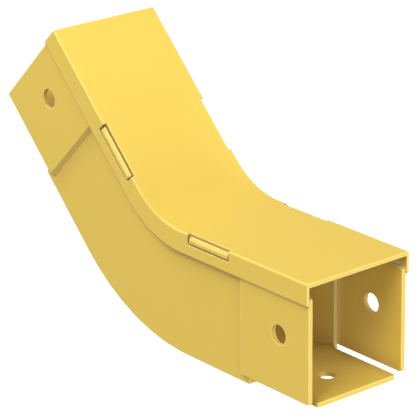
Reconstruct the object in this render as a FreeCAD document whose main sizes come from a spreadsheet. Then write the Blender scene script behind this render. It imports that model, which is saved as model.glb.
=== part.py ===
import FreeCAD, Part
import math
import os
import Sketcher

# Fibre raceway fitting: an open-topped channel that bends upward by 45 degrees
# towards the side that its clip-on cover closes. Both arms are alike, and each
# end has two side tongues and a floor tongue with a hole for a fastener.
#
# Both pieces are drawn in a bend frame: the level arm runs along +X from the
# start of the bend at X = 0, the cover's top face is at Z = 0, and a depth is
# measured down from there. One quarter is drawn, mirrored across the width and
# then across the plane that halves the bend. The finished part stands with its
# origin at the underside of the level floor tongue, in the middle of its hole.

SIZES = [
    ("bend_angle", 45, "turn between the two arms, in degrees"),
    ("bend_radius", 44, "radius of the cover's top face, inside the bend"),
    ("duct_width", 50, "clear width between the side walls"),
    ("duct_depth", 59, "from the cover plate's underside to the floor"),
    ("side_wall", 2, "thickness of the channel's side walls"),
    ("floor_wall", 2, "thickness of the channel's floor"),
    ("channel_reach", 44.5, "straight channel beyond the bend, each arm"),
    ("cover_plate", 2, "thickness of the cover's plate"),
    ("cover_reach", 88, "straight cover beyond the bend, each arm"),
    ("cover_gap", 0.1, "play between the wall tops and the plate"),
    ("cover_edge", 0.9, "round along the cover's outer top edges"),
    ("skirt_depth", 10.5, "from the cover's top face to the skirt's rim"),
    ("skirt_wall", 1.2, "thickness of the cover's skirts"),
    ("skirt_gap", 0.1, "play between a skirt and the side tongue inside it"),
    ("tongue_wall", 2.2, "thickness of the side tongues"),
    ("tongue_short", 0.5, "how far the tongues stop short of the cover's end"),
    ("tongue_lap", 3.3, "side tongue at full thickness on the channel wall"),
    ("tongue_ramp", 2.3, "length of the ramp that leads up to that"),
    ("tongue_drop", 7.7, "depth of the side tongues' top edge"),
    ("tongue_foot", 4.6, "side tongues' bottom edge above the underside"),
    ("tongue_corner", 1, "corner radius at the side tongues' free end"),
    ("floor_tongue_wall", 2.3, "thickness of the floor tongue"),
    ("floor_tongue_width", 47, "width of the floor tongue"),
    ("floor_tongue_corner", 1.2, "corner radius at its free end"),
    ("hole_diameter", 9.5, "fastener hole in each side tongue"),
    ("floor_hole_diameter", 8, "fastener hole in each floor tongue"),
    ("hole_reach", 67.5, "from the bend to the holes' centres"),
    ("hole_drop", 30.5, "depth of the side holes' centres"),
    ("window_start", 5.5, "from the bend to a snap window"),
    ("window_length", 29.5, "length of a snap window"),
    ("window_drop", 5.2, "depth of the window's sill in the skirt"),
    ("window_corner", 0.8, "corner radius at the window's sill"),
    ("window_cut", 2, "how far a window cuts in from the cover's side"),
    ("hook_end_gap", 1, "gap between a hook and the window's ends"),
    ("hook_gap", 0.7, "gap between a hook and the plate"),
    ("hook_sill_gap", 0.8, "gap between a hook and the window's sill"),
    ("hook_crest", 1.2, "depth of the hook's highest edge"),
    ("hook_slope", 1.4, "fall of the hook's top to its front"),
    ("hook_inset", 0.1, "hook's front behind the skirt's outer face"),
    ("hook_corner", 0.6, "radius at the ends of the hook's front"),
]

document = FreeCAD.newDocument("fibre_raceway_bend")
sheet = document.addObject("Spreadsheet::Sheet", "sizes")
for row, (alias, size, meaning) in enumerate(SIZES, start=1):
    sheet.set(f"A{row}", alias)
    sheet.set(f"B{row}", str(size))
    sheet.set(f"C{row}", meaning)
    sheet.setAlias(f"B{row}", alias)
document.recompute()

# Derived sizes, as expressions over the sheet

HALF_DUCT = "sizes.duct_width / 2"
HALF_CHANNEL = f"({HALF_DUCT} + sizes.side_wall)"
HALF_TONGUES = f"({HALF_CHANNEL} + sizes.tongue_wall)"
HALF_SKIRTS = f"({HALF_TONGUES} + sizes.skirt_gap)"
HALF_COVER = f"({HALF_SKIRTS} + sizes.skirt_wall)"
HALF_FLOOR_TONGUE = "sizes.floor_tongue_width / 2"

WALL_TOP = "(sizes.cover_plate + sizes.cover_gap)"
FLOOR_TOP = "(sizes.cover_plate + sizes.duct_depth)"
UNDERSIDE = f"({FLOOR_TOP} + sizes.floor_wall)"

TONGUE_END = "(sizes.cover_reach - sizes.tongue_short)"
LAP_START = "(sizes.channel_reach - sizes.tongue_lap)"
RAMP_START = f"({LAP_START} - sizes.tongue_ramp)"
TONGUE_BOTTOM = f"({UNDERSIDE} - sizes.tongue_foot)"

# The floor tongue's root flares out to the channel's full width
ROOT_FLARE = f"({HALF_CHANNEL} - {HALF_FLOOR_TONGUE})"

WINDOW_END = "(sizes.window_start + sizes.window_length)"
WINDOW_SIDE = f"({HALF_COVER} - sizes.window_cut)"

HOOK_START = "(sizes.window_start + sizes.hook_end_gap)"
HOOK_LENGTH = "sizes.window_length - 2 * sizes.hook_end_gap"
HOOK_BACK = f"({WINDOW_SIDE} + sizes.hook_gap)"
HOOK_FRONT = f"({HALF_COVER} - sizes.hook_inset)"
HOOK_NECK = f"({WALL_TOP} + sizes.hook_gap)"
HOOK_SILL = "(sizes.window_drop - sizes.hook_sill_gap)"
HOOK_LIP = "(sizes.hook_crest + sizes.hook_slope)"

# Turns of a rounded side in an outline
ANTICLOCKWISE = 1
CLOCKWISE = -1


def number(expression):
    """The plain number that an expression over the sheet gives."""
    result = sheet.evalExpression(expression)
    return getattr(result, "Value", result)


def bind(sketch, kind, geometry, point, expression):
    """Tie a sketch point's place, or a curve's radius, to an expression."""
    if kind == "Radius":
        rule = Sketcher.Constraint(kind, geometry, number(expression))
    else:
        rule = Sketcher.Constraint(kind, -1, 1, geometry, point, number(expression))
    index = sketch.addConstraint(rule)
    sketch.setExpression(f"Constraints[{index}]", expression)


def sketch_on(body, name, role, offset="0"):
    """An empty sketch on one of the body's origin planes, moved along its normal."""
    plane = next(p for p in body.Origin.OriginFeatures if p.Role == role)
    sketch = body.newObject("Sketcher::SketchObject", name)
    sketch.AttachmentSupport = (plane, [""])
    sketch.MapMode = "FlatFace"
    sketch.setExpression("AttachmentOffset.Base.z", offset)
    sketch.Visibility = False
    return sketch


def arc_between(start, end, radius, turn):
    """The shorter arc from start to end, as the sketcher keeps it."""
    chord = end - start
    sideways = FreeCAD.Vector(-chord.y, chord.x, 0).normalize()
    height = math.sqrt(radius**2 - (chord.Length / 2) ** 2)
    centre = (start + end) / 2 + sideways * height * turn
    first, last = (start, end) if turn == ANTICLOCKWISE else (end, start)
    angles = [math.atan2(p.y - centre.y, p.x - centre.x) for p in (first, last)]
    if angles[1] < angles[0]:
        angles[1] += 2 * math.pi
    circle = Part.Circle(centre, FreeCAD.Vector(0, 0, 1), radius)
    return Part.ArcOfCircle(circle, *angles)


def outline(body, name, role, corners, offset="0"):
    """A closed sketch through corners held by expressions.

    A corner is (across, up), and the side that leaves it is straight, or
    (across, up, radius, turn), and that side is an arc.
    """
    sketch = sketch_on(body, name, role, offset)
    spots = [FreeCAD.Vector(number(c[0]), number(c[1]), 0) for c in corners]
    ends = []
    for index, corner in enumerate(corners):
        start = spots[index]
        end = spots[(index + 1) % len(spots)]
        if len(corner) == 2:
            sketch.addGeometry(Part.LineSegment(start, end), False)
            ends.append((1, 2))
            continue
        radius, turn = corner[2:]
        sketch.addGeometry(arc_between(start, end, number(radius), turn), False)
        bind(sketch, "Radius", index, None, radius)
        ends.append((1, 2) if turn == ANTICLOCKWISE else (2, 1))
    for index, corner in enumerate(corners):
        before = index - 1 if index else len(corners) - 1
        joined = Sketcher.Constraint("Coincident", before, ends[before][1], index, ends[index][0])
        sketch.addConstraint(joined)
        bind(sketch, "DistanceX", index, ends[index][0], corner[0])
        bind(sketch, "DistanceY", index, ends[index][0], corner[1])
    return sketch


def disc(body, name, role, across, up, diameter):
    """A sketch of one fastener hole."""
    sketch = sketch_on(body, name, role)
    centre = FreeCAD.Vector(number(across), number(up), 0)
    radius = f"{diameter} / 2"
    circle = Part.Circle(centre, FreeCAD.Vector(0, 0, 1), number(radius))
    sketch.addGeometry(circle, False)
    bind(sketch, "Radius", 0, None, radius)
    bind(sketch, "DistanceX", 0, 3, across)
    bind(sketch, "DistanceY", 0, 3, up)
    return sketch


def pad(body, sketch, length):
    """Raise a sketch along its normal."""
    feature = body.newObject("PartDesign::Pad", f"{sketch.Name}_pad")
    feature.Profile = sketch
    feature.setExpression("Length", length)
    document.recompute()
    return feature


def cut(body, sketch, length=None, along_normal=True):
    """Cut from a sketch, to a length or through all that lies that way."""
    before = body.Shape.Volume
    feature = body.newObject("PartDesign::Pocket", f"{sketch.Name}_cut")
    feature.Profile = sketch
    feature.Reversed = along_normal
    if length is None:
        feature.Type = "ThroughAll"
    else:
        feature.setExpression("Length", length)
    document.recompute()
    if not body.Shape.Volume < before:
        raise ValueError(f"{feature.Name} cuts nothing")
    return feature


def round_edges(body, name, radius, chosen):
    """Round the edges of the body that the test picks."""
    base = body.Tip
    edges = [f"Edge{n}" for n, edge in enumerate(base.Shape.Edges, start=1) if chosen(edge)]
    if not edges:
        raise ValueError(f"{name} finds no edge")
    feature = body.newObject("PartDesign::Fillet", name)
    feature.Base = (base, edges)
    feature.setExpression("Radius", radius)
    document.recompute()
    return feature


def mirror(body, name, plane):
    """Add the body's mirror image across a plane."""
    feature = body.newObject("PartDesign::Mirrored", name)
    feature.TransformMode = "Whole shape"
    feature.MirrorPlane = (plane, [""])
    body.Tip = feature
    document.recompute()
    return feature


def mirror_across_width(body):
    """Complete the level half of a piece from its near quarter."""
    middle = next(p for p in body.Origin.OriginFeatures if p.Role == "XZ_Plane")
    return mirror(body, f"{body.Name}_width_mirror", middle)


def mirror_across_bend(body):
    """Complete a piece with its rising arm, across the plane that halves the bend."""
    upright = next(p for p in body.Origin.OriginFeatures if p.Role == "YZ_Plane")
    plane = body.newObject("PartDesign::Plane", f"{body.Name}_bend_plane")
    plane.AttachmentSupport = (upright, [""])
    plane.MapMode = "FlatFace"
    plane.setExpression("AttachmentOffset.Base.y", "sizes.bend_radius")
    plane.AttachmentOffset.Rotation.Axis = FreeCAD.Vector(1, 0, 0)
    plane.setExpression("AttachmentOffset.Rotation.Angle", "sizes.bend_angle / 2")
    plane.Visibility = False
    document.recompute()
    return mirror(body, f"{body.Name}_bend_mirror", plane)


def new_body(label):
    """A body in the bend frame, placed so that the part's origin is at the mount."""
    body = document.addObject("PartDesign::Body", label)
    body.Label = label
    body.setExpression("Placement.Base.x", "-sizes.hole_reach")
    body.setExpression("Placement.Base.z", FLOOR_TOP)
    return body


def arm_side(body, name, reach, top, bottom):
    """Side view of the level arm and half the bend, between two depths."""
    half = "sizes.bend_angle / 2"

    def at_half_bend(depth):
        radius = f"(sizes.bend_radius + {depth})"
        return f"-{radius} * sin({half})", f"sizes.bend_radius - {radius} * cos({half})"

    corners = [
        (reach, f"-{top}"),
        ("0", f"-{top}", f"sizes.bend_radius + {top}", CLOCKWISE),
        at_half_bend(top),
        (*at_half_bend(bottom), f"sizes.bend_radius + {bottom}", ANTICLOCKWISE),
        ("0", f"-{bottom}"),
        (reach, f"-{bottom}"),
    ]
    return outline(body, name, "XZ_Plane", corners)


def along_y(edge, x, z):
    """Whether a straight edge runs across the width through the point (x, z)."""
    return all(abs(v.X - x) + abs(v.Z - z) < Part.Precision.confusion() * 100 for v in edge.Vertexes)


# Channel


def add_side_tongue(body):
    """Tongue on the outside of the side wall, with a ramp where it starts."""
    plan = [
        (RAMP_START, f"-{HALF_CHANNEL}"),
        (LAP_START, f"-{HALF_TONGUES}"),
        (TONGUE_END, f"-{HALF_TONGUES}"),
        (TONGUE_END, f"-{HALF_CHANNEL}"),
    ]
    tongue = outline(body, "side_tongue", "XY_Plane", plan, f"-{TONGUE_BOTTOM}")
    pad(body, tongue, f"{TONGUE_BOTTOM} - sizes.tongue_drop")
    end = number(TONGUE_END)
    corners = [-number("sizes.tongue_drop"), -number(TONGUE_BOTTOM)]
    round_edges(
        body,
        "side_tongue_corners",
        "sizes.tongue_corner",
        lambda edge: any(along_y(edge, end, z) for z in corners),
    )
    place = ("sizes.hole_reach", "-sizes.hole_drop")
    cut(body, disc(body, "side_hole", "XZ_Plane", *place, "sizes.hole_diameter"))


def add_floor_tongue(body):
    """Near half of the tongue that lies on the floor and flares out at its root."""
    root_end = f"(sizes.channel_reach + {ROOT_FLARE})"
    corner_x = f"({TONGUE_END} - sizes.floor_tongue_corner)"
    corner_y = f"({HALF_FLOOR_TONGUE} - sizes.floor_tongue_corner)"
    plan = [
        (LAP_START, "0"),
        (LAP_START, f"-{HALF_DUCT}"),
        ("sizes.channel_reach", f"-{HALF_DUCT}"),
        ("sizes.channel_reach", f"-{HALF_CHANNEL}", ROOT_FLARE, CLOCKWISE),
        (root_end, f"-{HALF_FLOOR_TONGUE}"),
        (corner_x, f"-{HALF_FLOOR_TONGUE}", "sizes.floor_tongue_corner", ANTICLOCKWISE),
        (TONGUE_END, f"-{corner_y}"),
        (TONGUE_END, "0"),
    ]
    tongue = outline(body, "floor_tongue", "XY_Plane", plan, f"-{FLOOR_TOP}")
    pad(body, tongue, "sizes.floor_tongue_wall")


def add_hook(body):
    """Snap hook: a neck under the plate and a head that stands in the window."""
    section = [
        (f"-{HALF_CHANNEL}", f"-{HOOK_NECK}"),
        (f"-{HOOK_BACK}", f"-{HOOK_NECK}"),
        (f"-{HOOK_BACK}", "-sizes.hook_crest"),
        (f"-{HOOK_FRONT}", f"-{HOOK_LIP}"),
        (f"-{HOOK_FRONT}", f"-{HOOK_SILL}"),
        (f"-{HALF_CHANNEL}", f"-{HOOK_SILL}"),
    ]
    hook = outline(body, "hook", "YZ_Plane", section, HOOK_START)
    pad(body, hook, HOOK_LENGTH)
    front = -number(HOOK_FRONT)

    def upright_on_front(edge):
        """Whether an edge is one end of the hook's front face."""
        ends = edge.Vertexes
        level = abs(ends[0].Z - ends[-1].Z)
        on_front = all(math.isclose(v.Y, front, abs_tol=1e-6) for v in ends)
        return on_front and level > number(f"{HOOK_SILL} - {HOOK_LIP}") / 2

    round_edges(body, "hook_ends", "sizes.hook_corner", upright_on_front)


def make_channel():
    """The open-topped duct with its tongues and snap hooks."""
    body = new_body("channel")
    solid = arm_side(body, "channel_side", "sizes.channel_reach", WALL_TOP, UNDERSIDE)
    pad(body, solid, HALF_CHANNEL)
    duct = arm_side(body, "duct_side", "sizes.channel_reach", WALL_TOP, FLOOR_TOP)
    cut(body, duct, HALF_DUCT)
    add_floor_tongue(body)
    add_side_tongue(body)
    add_hook(body)
    mirror_across_width(body)
    place = ("sizes.hole_reach", "0")
    floor_hole = disc(body, "floor_hole", "XY_Plane", *place, "sizes.floor_hole_diameter")
    cut(body, floor_hole, along_normal=False)
    mirror_across_bend(body)
    return body


# Cover


def add_window(body):
    """Snap window: it opens the skirt and cuts into the plate's edge."""
    left_round = "(sizes.window_start + sizes.window_corner)"
    right_round = f"({WINDOW_END} - sizes.window_corner)"
    sill_round = "-(sizes.window_drop - sizes.window_corner)"
    side = [
        ("sizes.window_start", "sizes.cover_plate"),
        ("sizes.window_start", sill_round, "sizes.window_corner", ANTICLOCKWISE),
        (left_round, "-sizes.window_drop"),
        (right_round, "-sizes.window_drop", "sizes.window_corner", ANTICLOCKWISE),
        (WINDOW_END, sill_round),
        (WINDOW_END, "sizes.cover_plate"),
    ]
    window = outline(body, "window", "XZ_Plane", side, WINDOW_SIDE)
    cut(body, window)


def make_cover():
    """The clip-on cover: a plate with a skirt and two windows down each side."""
    body = new_body("cover")
    solid = arm_side(body, "cover_side", "sizes.cover_reach", "0", "sizes.skirt_depth")
    pad(body, solid, HALF_COVER)
    side = -number(HALF_COVER)

    def on_top_rim(edge):
        """Whether an edge lies along the outer side of the cover's top face."""
        ends = edge.Vertexes
        if not all(math.isclose(v.Y, side, abs_tol=1e-6) for v in ends):
            return False
        middle = edge.valueAt((edge.FirstParameter + edge.LastParameter) / 2)
        radius = number("sizes.bend_radius")
        if middle.x > 0:
            return math.isclose(middle.z, 0, abs_tol=1e-6)
        return math.isclose(math.hypot(middle.x, middle.z - radius), radius, abs_tol=1e-6)

    round_edges(body, "cover_edges", "sizes.cover_edge", on_top_rim)
    inside = arm_side(body, "inside", "sizes.cover_reach", "sizes.cover_plate", "sizes.skirt_depth")
    cut(body, inside, HALF_SKIRTS)
    add_window(body)
    mirror_across_width(body)
    mirror_across_bend(body)
    return body


channel = make_channel()
cover = make_cover()
document.recompute()

for item in document.Objects:
    if "Invalid" in item.State or "Error" in item.State:
        raise ValueError(f"{item.Name} failed: {item.State}")

os.makedirs("parts", exist_ok=True)
for piece in (channel, cover):
    if piece.Shape.isNull() or not piece.Shape.isValid():
        raise ValueError(f"{piece.Label} has no valid shape")
    piece.Shape.exportStep(f"parts/{piece.Label}.step")
    print(piece.Label, "volume", round(piece.Shape.Volume, 1))
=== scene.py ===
import math

import bpy
from mathutils import Matrix, Vector


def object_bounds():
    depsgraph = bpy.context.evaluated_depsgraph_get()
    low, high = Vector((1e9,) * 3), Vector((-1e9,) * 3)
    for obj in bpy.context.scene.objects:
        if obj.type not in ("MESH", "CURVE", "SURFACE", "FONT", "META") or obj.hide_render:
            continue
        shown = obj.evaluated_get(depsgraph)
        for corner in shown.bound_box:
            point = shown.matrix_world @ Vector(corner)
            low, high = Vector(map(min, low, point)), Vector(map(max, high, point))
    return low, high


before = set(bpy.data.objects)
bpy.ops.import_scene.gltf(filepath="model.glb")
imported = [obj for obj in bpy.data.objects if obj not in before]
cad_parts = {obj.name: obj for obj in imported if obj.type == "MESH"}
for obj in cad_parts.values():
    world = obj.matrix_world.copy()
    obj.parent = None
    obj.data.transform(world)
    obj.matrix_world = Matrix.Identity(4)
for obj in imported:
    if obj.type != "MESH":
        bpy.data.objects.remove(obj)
cad_low, cad_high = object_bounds()

# Camera, in metres and degrees: the point it looks at, and where it stands from there
AIM = Vector((-0.0852, 0.0023, 0.0581))
CAMERA_DISTANCE = 1.213
CAMERA_AZIMUTH = 50.59
CAMERA_ELEVATION = 20.42
CAMERA_ROLL = -0.75
CAMERA_LENS_MM = 220.5
SENSOR_MM = 36

# Moulded yellow plastic: two linear colours that it wanders between, and its sheen
YELLOW = (0.815, 0.57, 0.09)
YELLOW_PALE = (0.83, 0.59, 0.1)
MOTTLE_PER_M = 9
MOTTLE_OCTAVES = 3
ROUGHNESS = 0.34
SPECULAR = 0.35

# Relief, in metres: slow ripple of the moulding, then fine grain of the mould
RIPPLE = dict(per_m=25, octaves=2, height=0.00012)
GRAIN = dict(per_m=2200, octaves=2, height=0.00002)

# Edges look rounded, and carry a painted highlight: a paler colour where the rounding
# turns the surface away
EDGE_ROUND_M = 0.0007
EDGE_SAMPLES = 6
EDGE_TURN = 0.95
YELLOW_EDGE_HIGHLIGHT = (1, 0.86, 0.34)

# Painted shade and painted light for enclosed surfaces, laid on in this order: brown
# painted shade in corners and under the skirt, a paler, greyer painted light deep in the
# duct, and brown painted shade in narrow slits. The reach is how far away other surfaces
# count, and a tint goes from full to gone as the open share of the view grows.
OPENNESS_SAMPLES = 8
# Brown painted shade, and paler painted light for the inside of the duct
YELLOW_PAINTED_SHADE = (0.6, 0.36, 0.05)
YELLOW_PAINTED_DUCT_LIGHT = (0.92, 0.86, 0.44)
CORNER_PAINTED_SHADE = dict(tint=YELLOW_PAINTED_SHADE, reach=0.01, full_at=0.6, gone_at=1)
DUCT_PAINTED_LIGHT = dict(tint=YELLOW_PAINTED_DUCT_LIGHT, reach=0.06, full_at=0.15, gone_at=0.55)
SLIT_PAINTED_SHADE = dict(tint=YELLOW_PAINTED_SHADE, reach=0.003, full_at=0.2, gone_at=0.6)

# Floor, in metres below the fitting, with its own colour and its glow in reflections
FLOOR_DROP = 0.5
FLOOR_SIZE = 14
FLOOR_GREY = 0.28
FLOOR_IN_SHEEN = 0.7

# Tent light all round, stronger at the horizon and towards one azimuth, seen as white
WHITE = (1, 1, 1)
LIGHT_AT_HORIZON = 1.5
LIGHT_OVERHEAD = 0.3
LIT_SIDE_AZIMUTH = 62
LIT_SIDE_GAIN = 1.15
DIM_SIDE_GAIN = 0.3
FACING_AWAY = -1

# Square area lamps that look at the fitting: degrees, metres and watts. The rear one
# stays out of the sheen, where it would break up along the rims.
LAMPS = {
    "key": dict(azimuth=-70, elevation=52, distance=1.4, size=0.5, watts=8.4),
    "fill": dict(azimuth=22, elevation=44, distance=1.4, size=0.6, watts=9.6),
    "side": dict(azimuth=97, elevation=-12, distance=1.6, size=0.5, watts=11.5),
    "back": dict(azimuth=112, elevation=50, distance=1.4, size=0.5, watts=2.5),
    "rear": dict(
        azimuth=205, elevation=-4, distance=1.4, size=0.5, watts=8, mirrored=False
    ),
}


def direction(azimuth, elevation):
    """Unit vector from the object towards an azimuth, 0 at the front, and an elevation."""
    across = math.cos(math.radians(elevation))
    return Vector(
        (
            math.sin(math.radians(azimuth)) * across,
            -math.cos(math.radians(azimuth)) * across,
            math.sin(math.radians(elevation)),
        )
    )


def add_camera():
    """Camera at the photograph's angle."""
    data = bpy.data.cameras.new("camera")
    data.lens = CAMERA_LENS_MM
    data.sensor_width = SENSOR_MM
    camera = bpy.data.objects.new("camera", data)
    back = direction(CAMERA_AZIMUTH, CAMERA_ELEVATION)
    camera.location = AIM + back * CAMERA_DISTANCE
    upright = (-back).to_track_quat("-Z", "Y").to_matrix()
    roll = Matrix.Rotation(math.radians(CAMERA_ROLL), 3, "Z")
    camera.rotation_euler = (upright @ roll).to_euler()
    bpy.context.collection.objects.link(camera)
    bpy.context.scene.camera = camera


class Nodes:
    """A short way to add and join the nodes of one material or world."""

    def __init__(self, tree):
        self.tree = tree
        tree.nodes.clear()

    def add(self, kind, **settings):
        node = self.tree.nodes.new(kind)
        for name, value in settings.items():
            setattr(node, name, value)
        return node

    def join(self, source, target):
        self.tree.links.new(source, target)


def mottle_colour(nodes, position):
    """Yellow that wanders faintly between two tones."""
    mottle = nodes.add("ShaderNodeTexNoise")
    mottle.inputs["Scale"].default_value = MOTTLE_PER_M
    mottle.inputs["Detail"].default_value = MOTTLE_OCTAVES
    tones = nodes.add("ShaderNodeMix", data_type="RGBA")
    tones.inputs["A"].default_value = (*YELLOW, 1)
    tones.inputs["B"].default_value = (*YELLOW_PALE, 1)
    nodes.join(position, mottle.inputs["Vector"])
    nodes.join(mottle.outputs["Fac"], tones.inputs["Factor"])
    return tones.outputs["Result"]


def paint_edge_highlights(nodes, colour, rounded):
    """Paint a highlight on edges: turn a colour paler where the rounded normal leaves the
    true one.
    """
    surface = nodes.add("ShaderNodeNewGeometry")
    turn = nodes.add("ShaderNodeVectorMath", operation="DOT_PRODUCT")
    flat = nodes.add("ShaderNodeMapRange")
    flat.inputs["From Min"].default_value = EDGE_TURN
    highlighted = nodes.add("ShaderNodeMix", data_type="RGBA")
    highlighted.inputs["A"].default_value = (*YELLOW_EDGE_HIGHLIGHT, 1)
    nodes.join(rounded, turn.inputs[0])
    nodes.join(surface.outputs["Normal"], turn.inputs[1])
    nodes.join(turn.outputs["Value"], flat.inputs["Value"])
    nodes.join(flat.outputs["Result"], highlighted.inputs["Factor"])
    nodes.join(colour, highlighted.inputs["B"])
    return highlighted.outputs["Result"]


def paint_recess_light_and_shade(nodes, colour, tint, reach, full_at, gone_at):
    """Paint shade and light into recesses: turn a colour towards a tint where other
    surfaces stand within reach.
    """
    openness = nodes.add("ShaderNodeAmbientOcclusion", samples=OPENNESS_SAMPLES)
    openness.inputs["Distance"].default_value = reach
    amount = nodes.add("ShaderNodeMapRange")
    amount.inputs["From Min"].default_value = full_at
    amount.inputs["From Max"].default_value = gone_at
    painted = nodes.add("ShaderNodeMix", data_type="RGBA")
    painted.inputs["A"].default_value = (*tint, 1)
    nodes.join(openness.outputs["AO"], amount.inputs["Value"])
    nodes.join(amount.outputs["Result"], painted.inputs["Factor"])
    nodes.join(colour, painted.inputs["B"])
    return painted.outputs["Result"]


def add_relief(nodes, position, normal, per_m, octaves, height):
    """Bend a normal by noise of one scale and height."""
    noise = nodes.add("ShaderNodeTexNoise")
    noise.inputs["Scale"].default_value = per_m
    noise.inputs["Detail"].default_value = octaves
    bump = nodes.add("ShaderNodeBump")
    bump.inputs["Distance"].default_value = height
    nodes.join(position, noise.inputs["Vector"])
    nodes.join(noise.outputs["Fac"], bump.inputs["Height"])
    nodes.join(normal, bump.inputs["Normal"])
    return bump.outputs["Normal"]


def moulded_plastic(name, shift):
    """Yellow moulded plastic, with its noise shifted so that no two pieces are alike."""
    material = bpy.data.materials.new(name)
    material.use_nodes = True
    nodes = Nodes(material.node_tree)
    output = nodes.add("ShaderNodeOutputMaterial")
    shader = nodes.add("ShaderNodeBsdfPrincipled")
    shader.inputs["Roughness"].default_value = ROUGHNESS
    shader.inputs["Specular IOR Level"].default_value = SPECULAR
    nodes.join(shader.outputs["BSDF"], output.inputs["Surface"])

    place = nodes.add("ShaderNodeTexCoord")
    mapping = nodes.add("ShaderNodeMapping")
    mapping.inputs["Location"].default_value = (shift, shift, shift)
    nodes.join(place.outputs["Object"], mapping.inputs["Vector"])
    position = mapping.outputs["Vector"]
    edges = nodes.add("ShaderNodeBevel", samples=EDGE_SAMPLES)
    edges.inputs["Radius"].default_value = EDGE_ROUND_M
    rounded = edges.outputs["Normal"]

    # Mottled yellow, with a painted highlight along its edges
    colour = paint_edge_highlights(nodes, mottle_colour(nodes, position), rounded)
    # Painted shade in corners, painted light deep in the duct, painted shade in slits
    for recess in (CORNER_PAINTED_SHADE, DUCT_PAINTED_LIGHT, SLIT_PAINTED_SHADE):
        colour = paint_recess_light_and_shade(nodes, colour, **recess)
    nodes.join(colour, shader.inputs["Base Color"])

    normal = rounded
    for relief in (RIPPLE, GRAIN):
        normal = add_relief(nodes, position, normal, **relief)
    nodes.join(normal, shader.inputs["Normal"])
    return material


def dress(node, material):
    """Give a CAD node its material."""
    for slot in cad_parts[node].material_slots:
        slot.material = material


def add_floor():
    """Floor seen as white, so far below that the fitting's shadow misses the picture."""
    place = (0, 0, cad_low.z - FLOOR_DROP)
    bpy.ops.mesh.primitive_plane_add(size=FLOOR_SIZE, location=place)
    floor = bpy.context.object
    floor.name = "floor"
    material = bpy.data.materials.new("floor")
    material.use_nodes = True
    nodes = Nodes(material.node_tree)
    output = nodes.add("ShaderNodeOutputMaterial")
    matte = nodes.add("ShaderNodeBsdfDiffuse")
    matte.inputs["Color"].default_value = (FLOOR_GREY, FLOOR_GREY, FLOOR_GREY, 1)
    white = nodes.add("ShaderNodeEmission")
    bright = nodes.add("ShaderNodeEmission")
    bright.inputs["Strength"].default_value = FLOOR_IN_SHEEN
    rays = nodes.add("ShaderNodeLightPath")
    white_matte = nodes.add("ShaderNodeAddShader")
    nodes.join(white.outputs["Emission"], white_matte.inputs[0])
    nodes.join(matte.outputs["BSDF"], white_matte.inputs[1])
    mirrored = nodes.add("ShaderNodeMixShader")
    nodes.join(rays.outputs["Is Glossy Ray"], mirrored.inputs["Fac"])
    nodes.join(matte.outputs["BSDF"], mirrored.inputs[1])
    nodes.join(bright.outputs["Emission"], mirrored.inputs[2])
    seen = nodes.add("ShaderNodeMixShader")
    nodes.join(rays.outputs["Is Camera Ray"], seen.inputs["Fac"])
    nodes.join(mirrored.outputs["Shader"], seen.inputs[1])
    nodes.join(white_matte.outputs["Shader"], seen.inputs[2])
    nodes.join(seen.outputs["Shader"], output.inputs["Surface"])
    floor.data.materials.append(material)


def add_world():
    """Soft tent light, stronger from the sides than from above, seen as white."""
    world = bpy.data.worlds.new("studio")
    bpy.context.scene.world = world
    world.use_nodes = True
    nodes = Nodes(world.node_tree)
    output = nodes.add("ShaderNodeOutputWorld")
    light = nodes.add("ShaderNodeBackground")
    place = nodes.add("ShaderNodeTexCoord")
    axes = nodes.add("ShaderNodeSeparateXYZ")
    fade = nodes.add("ShaderNodeMapRange")
    fade.inputs["To Min"].default_value = LIGHT_AT_HORIZON
    fade.inputs["To Max"].default_value = LIGHT_OVERHEAD
    towards = nodes.add("ShaderNodeVectorMath", operation="DOT_PRODUCT")
    towards.inputs[1].default_value = direction(LIT_SIDE_AZIMUTH, 0)
    sides = nodes.add("ShaderNodeMapRange")
    sides.inputs["From Min"].default_value = FACING_AWAY
    sides.inputs["To Min"].default_value = DIM_SIDE_GAIN
    sides.inputs["To Max"].default_value = LIT_SIDE_GAIN
    strength = nodes.add("ShaderNodeMath", operation="MULTIPLY")
    nodes.join(place.outputs["Generated"], axes.inputs["Vector"])
    nodes.join(axes.outputs["Z"], fade.inputs["Value"])
    nodes.join(place.outputs["Generated"], towards.inputs[0])
    nodes.join(towards.outputs["Value"], sides.inputs["Value"])
    nodes.join(fade.outputs["Result"], strength.inputs[0])
    nodes.join(sides.outputs["Result"], strength.inputs[1])
    nodes.join(strength.outputs["Value"], light.inputs["Strength"])
    seen = nodes.add("ShaderNodeBackground")
    seen.inputs["Color"].default_value = (*WHITE, 1)
    rays = nodes.add("ShaderNodeLightPath")
    pick = nodes.add("ShaderNodeMixShader")
    nodes.join(rays.outputs["Is Camera Ray"], pick.inputs["Fac"])
    nodes.join(light.outputs["Background"], pick.inputs[1])
    nodes.join(seen.outputs["Background"], pick.inputs[2])
    nodes.join(pick.outputs["Shader"], output.inputs["Surface"])


def add_softbox(name, azimuth, elevation, distance, size, watts, mirrored=True):
    """Square area lamp that looks at the fitting, and shows in its sheen if mirrored."""
    data = bpy.data.lights.new(name, "AREA")
    data.size = size
    data.energy = watts
    lamp = bpy.data.objects.new(name, data)
    lamp.visible_glossy = mirrored
    towards = direction(azimuth, elevation)
    lamp.location = AIM + towards * distance
    lamp.rotation_euler = (-towards).to_track_quat("-Z", "Y").to_euler()
    bpy.context.collection.objects.link(lamp)


add_camera()
for shift, node in enumerate(sorted(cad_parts)):
    dress(node, moulded_plastic(f"{node}_plastic", shift))
add_floor()
add_world()
for name, lamp in LAMPS.items():
    add_softbox(name, **lamp)
bpy.context.scene.view_settings.view_transform = "Standard"
